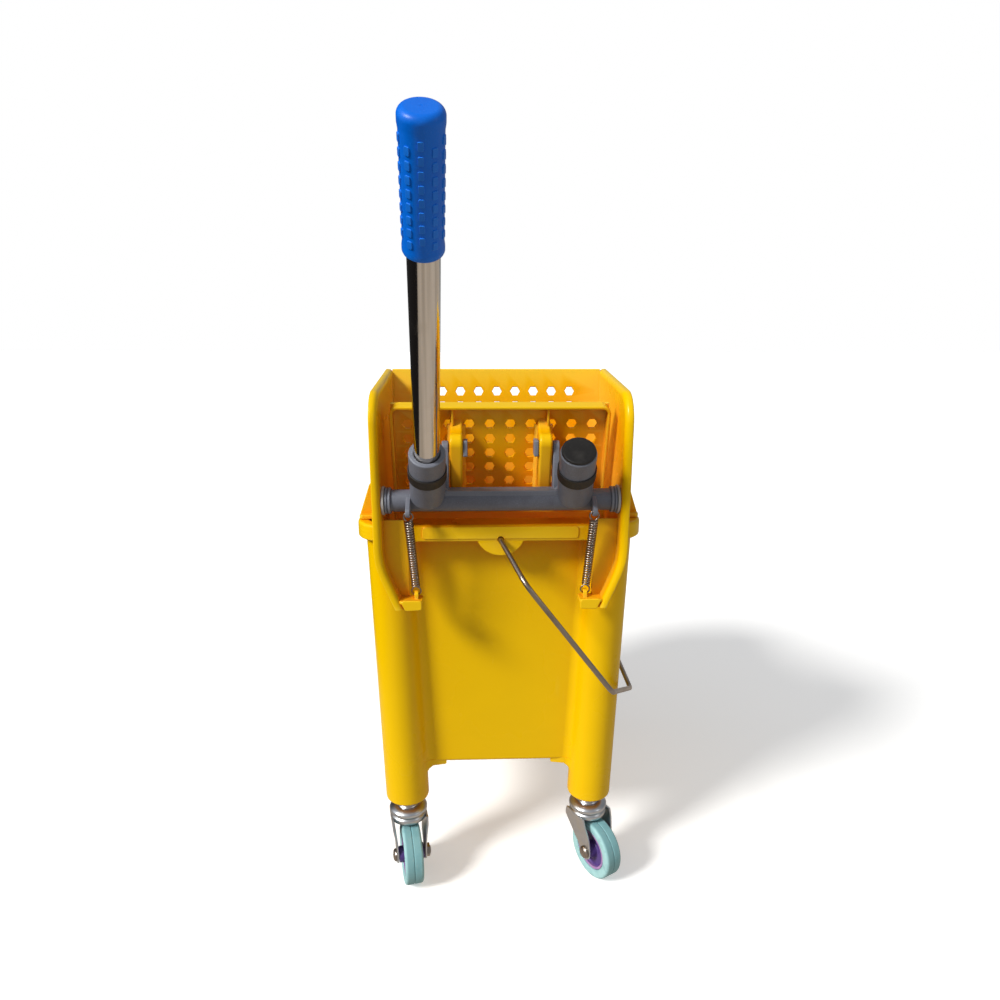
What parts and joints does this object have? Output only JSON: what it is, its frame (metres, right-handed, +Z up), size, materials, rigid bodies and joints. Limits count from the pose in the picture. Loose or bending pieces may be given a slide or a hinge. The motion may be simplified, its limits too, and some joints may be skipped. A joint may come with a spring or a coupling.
{
  "type": "mop bucket trolley with lever press wringer",
  "caption": "Wheeled mop bucket with a lever-operated press wringer, a wire bail and four swivel casters; the wringer lifts off the rim.",
  "frame": {"origin": "floor level, under the centre of the trolley's bounding box", "axes": "+X to the right seen from the wringer end, +Y from the wringer end to the far end, +Z up"},
  "size_m": [0.285, 0.6934, 0.7233],
  "materials": {
    "yellow_plastic": "gloss moulded",
    "grey_plastic": "satin moulded",
    "black_rubber": "matt",
    "chrome": "polished",
    "blue_plastic": "satin moulded",
    "steel": "drawn wire",
    "zinc": "bright zinc plate",
    "tyre": "smooth",
    "hub_plastic": "satin moulded",
    "white_plastic": "satin moulded"
  },
  "bodies": {
    "bucket": {"bucket_shell": "yellow_plastic", "caster_near_left_stem": "zinc", "caster_near_left_cup": "zinc", "caster_near_right_stem": "zinc", "caster_near_right_cup": "zinc", "caster_far_left_stem": "zinc", "caster_far_left_cup": "zinc", "caster_far_right_stem": "zinc", "caster_far_right_cup": "zinc"},
    "wringer": {"wringer_frame": "yellow_plastic", "shaft_bush_left": "white_plastic", "shaft_bush_right": "white_plastic", "return_spring_left": "steel", "return_spring_right": "steel"},
    "crank": {"crank_shaft": "grey_plastic", "crank_pin_left": "grey_plastic", "crank_pin_right": "grey_plastic", "socket_ring_left": "black_rubber", "socket_ring_right": "black_rubber", "socket_cap": "black_rubber", "lever_tube": "chrome", "lever_grip": "blue_plastic"},
    "plate": {"press_plate": "yellow_plastic"},
    "bail": {"bail_handle": "steel"},
    "caster_near_left": {"caster_near_left_fork": "zinc", "caster_near_left_axle_bolt": "steel"},
    "wheel_near_left": {"caster_near_left_hub": "hub_plastic", "caster_near_left_tyre": "tyre"},
    "caster_near_right": {"caster_near_right_fork": "zinc", "caster_near_right_axle_bolt": "steel"},
    "wheel_near_right": {"caster_near_right_hub": "hub_plastic", "caster_near_right_tyre": "tyre"},
    "caster_far_left": {"caster_far_left_fork": "zinc", "caster_far_left_axle_bolt": "steel"},
    "wheel_far_left": {"caster_far_left_hub": "hub_plastic", "caster_far_left_tyre": "tyre"},
    "caster_far_right": {"caster_far_right_fork": "zinc", "caster_far_right_axle_bolt": "steel"},
    "wheel_far_right": {"caster_far_right_hub": "hub_plastic", "caster_far_right_tyre": "tyre"}
  },
  "joints": [
    {"name": "wringer_lift", "type": "slide", "parent": "bucket", "child": "wringer", "axis": [0, 0, 1], "range_m": [0, 0.2]},
    {"name": "lever_press", "type": "hinge", "parent": "wringer", "child": "crank", "pos_m": [-0.00428, -0.11419, 0.444], "axis": [-1, 0, 0], "range_deg": [0, 70], "stiffness_Nm_per_rad": 0.6, "springref_deg": -114.59, "deforming": ["return_spring_left", "return_spring_right"]},
    {"name": "plate_swing", "type": "hinge", "parent": "wringer", "child": "plate", "pos_m": [-0.00428, -0.07919, 0.408], "axis": [-1, 0, 0], "range_deg": [0, 33.5]},
    {"name": "bail_swing", "type": "hinge", "parent": "bucket", "child": "bail", "pos_m": [-0.00428, 0.09081, 0.404], "axis": [0, -1, 0], "range_deg": [0, 9]},
    {"name": "swivel_near_left", "type": "hinge", "parent": "bucket", "child": "caster_near_left", "pos_m": [-0.10503, -0.0605, 0.0845], "axis": [0, 0, 1], "continuous": true},
    {"name": "roll_near_left", "type": "hinge", "parent": "caster_near_left", "child": "wheel_near_left", "pos_m": [-0.1014, -0.07762, 0.03175], "axis": [0.9781, 0.2079, 0], "continuous": true},
    {"name": "swivel_near_right", "type": "hinge", "parent": "bucket", "child": "caster_near_right", "pos_m": [0.09648, -0.0605, 0.0845], "axis": [0, 0, 1], "continuous": true},
    {"name": "roll_near_right", "type": "hinge", "parent": "caster_near_right", "child": "wheel_near_right", "pos_m": [0.10523, -0.07566, 0.03175], "axis": [0.866, 0.5, 0], "continuous": true},
    {"name": "swivel_far_left", "type": "hinge", "parent": "bucket", "child": "caster_far_left", "pos_m": [-0.10503, 0.24211, 0.0845], "axis": [0, 0, 1], "continuous": true},
    {"name": "roll_far_left", "type": "hinge", "parent": "caster_far_left", "child": "wheel_far_left", "pos_m": [-0.11102, 0.22567, 0.03175], "axis": [0.9397, -0.342, 0], "continuous": true},
    {"name": "swivel_far_right", "type": "hinge", "parent": "bucket", "child": "caster_far_right", "pos_m": [0.09648, 0.24211, 0.0845], "axis": [0, 0, 1], "continuous": true},
    {"name": "roll_far_right", "type": "hinge", "parent": "caster_far_right", "child": "wheel_far_right", "pos_m": [0.1013, 0.22529, 0.03175], "axis": [0.9613, 0.2756, 0], "continuous": true}
  ],
  "couplings": [
    {"joint": "plate_swing", "follows": "lever_press", "ratio": 0.473}
  ]
}
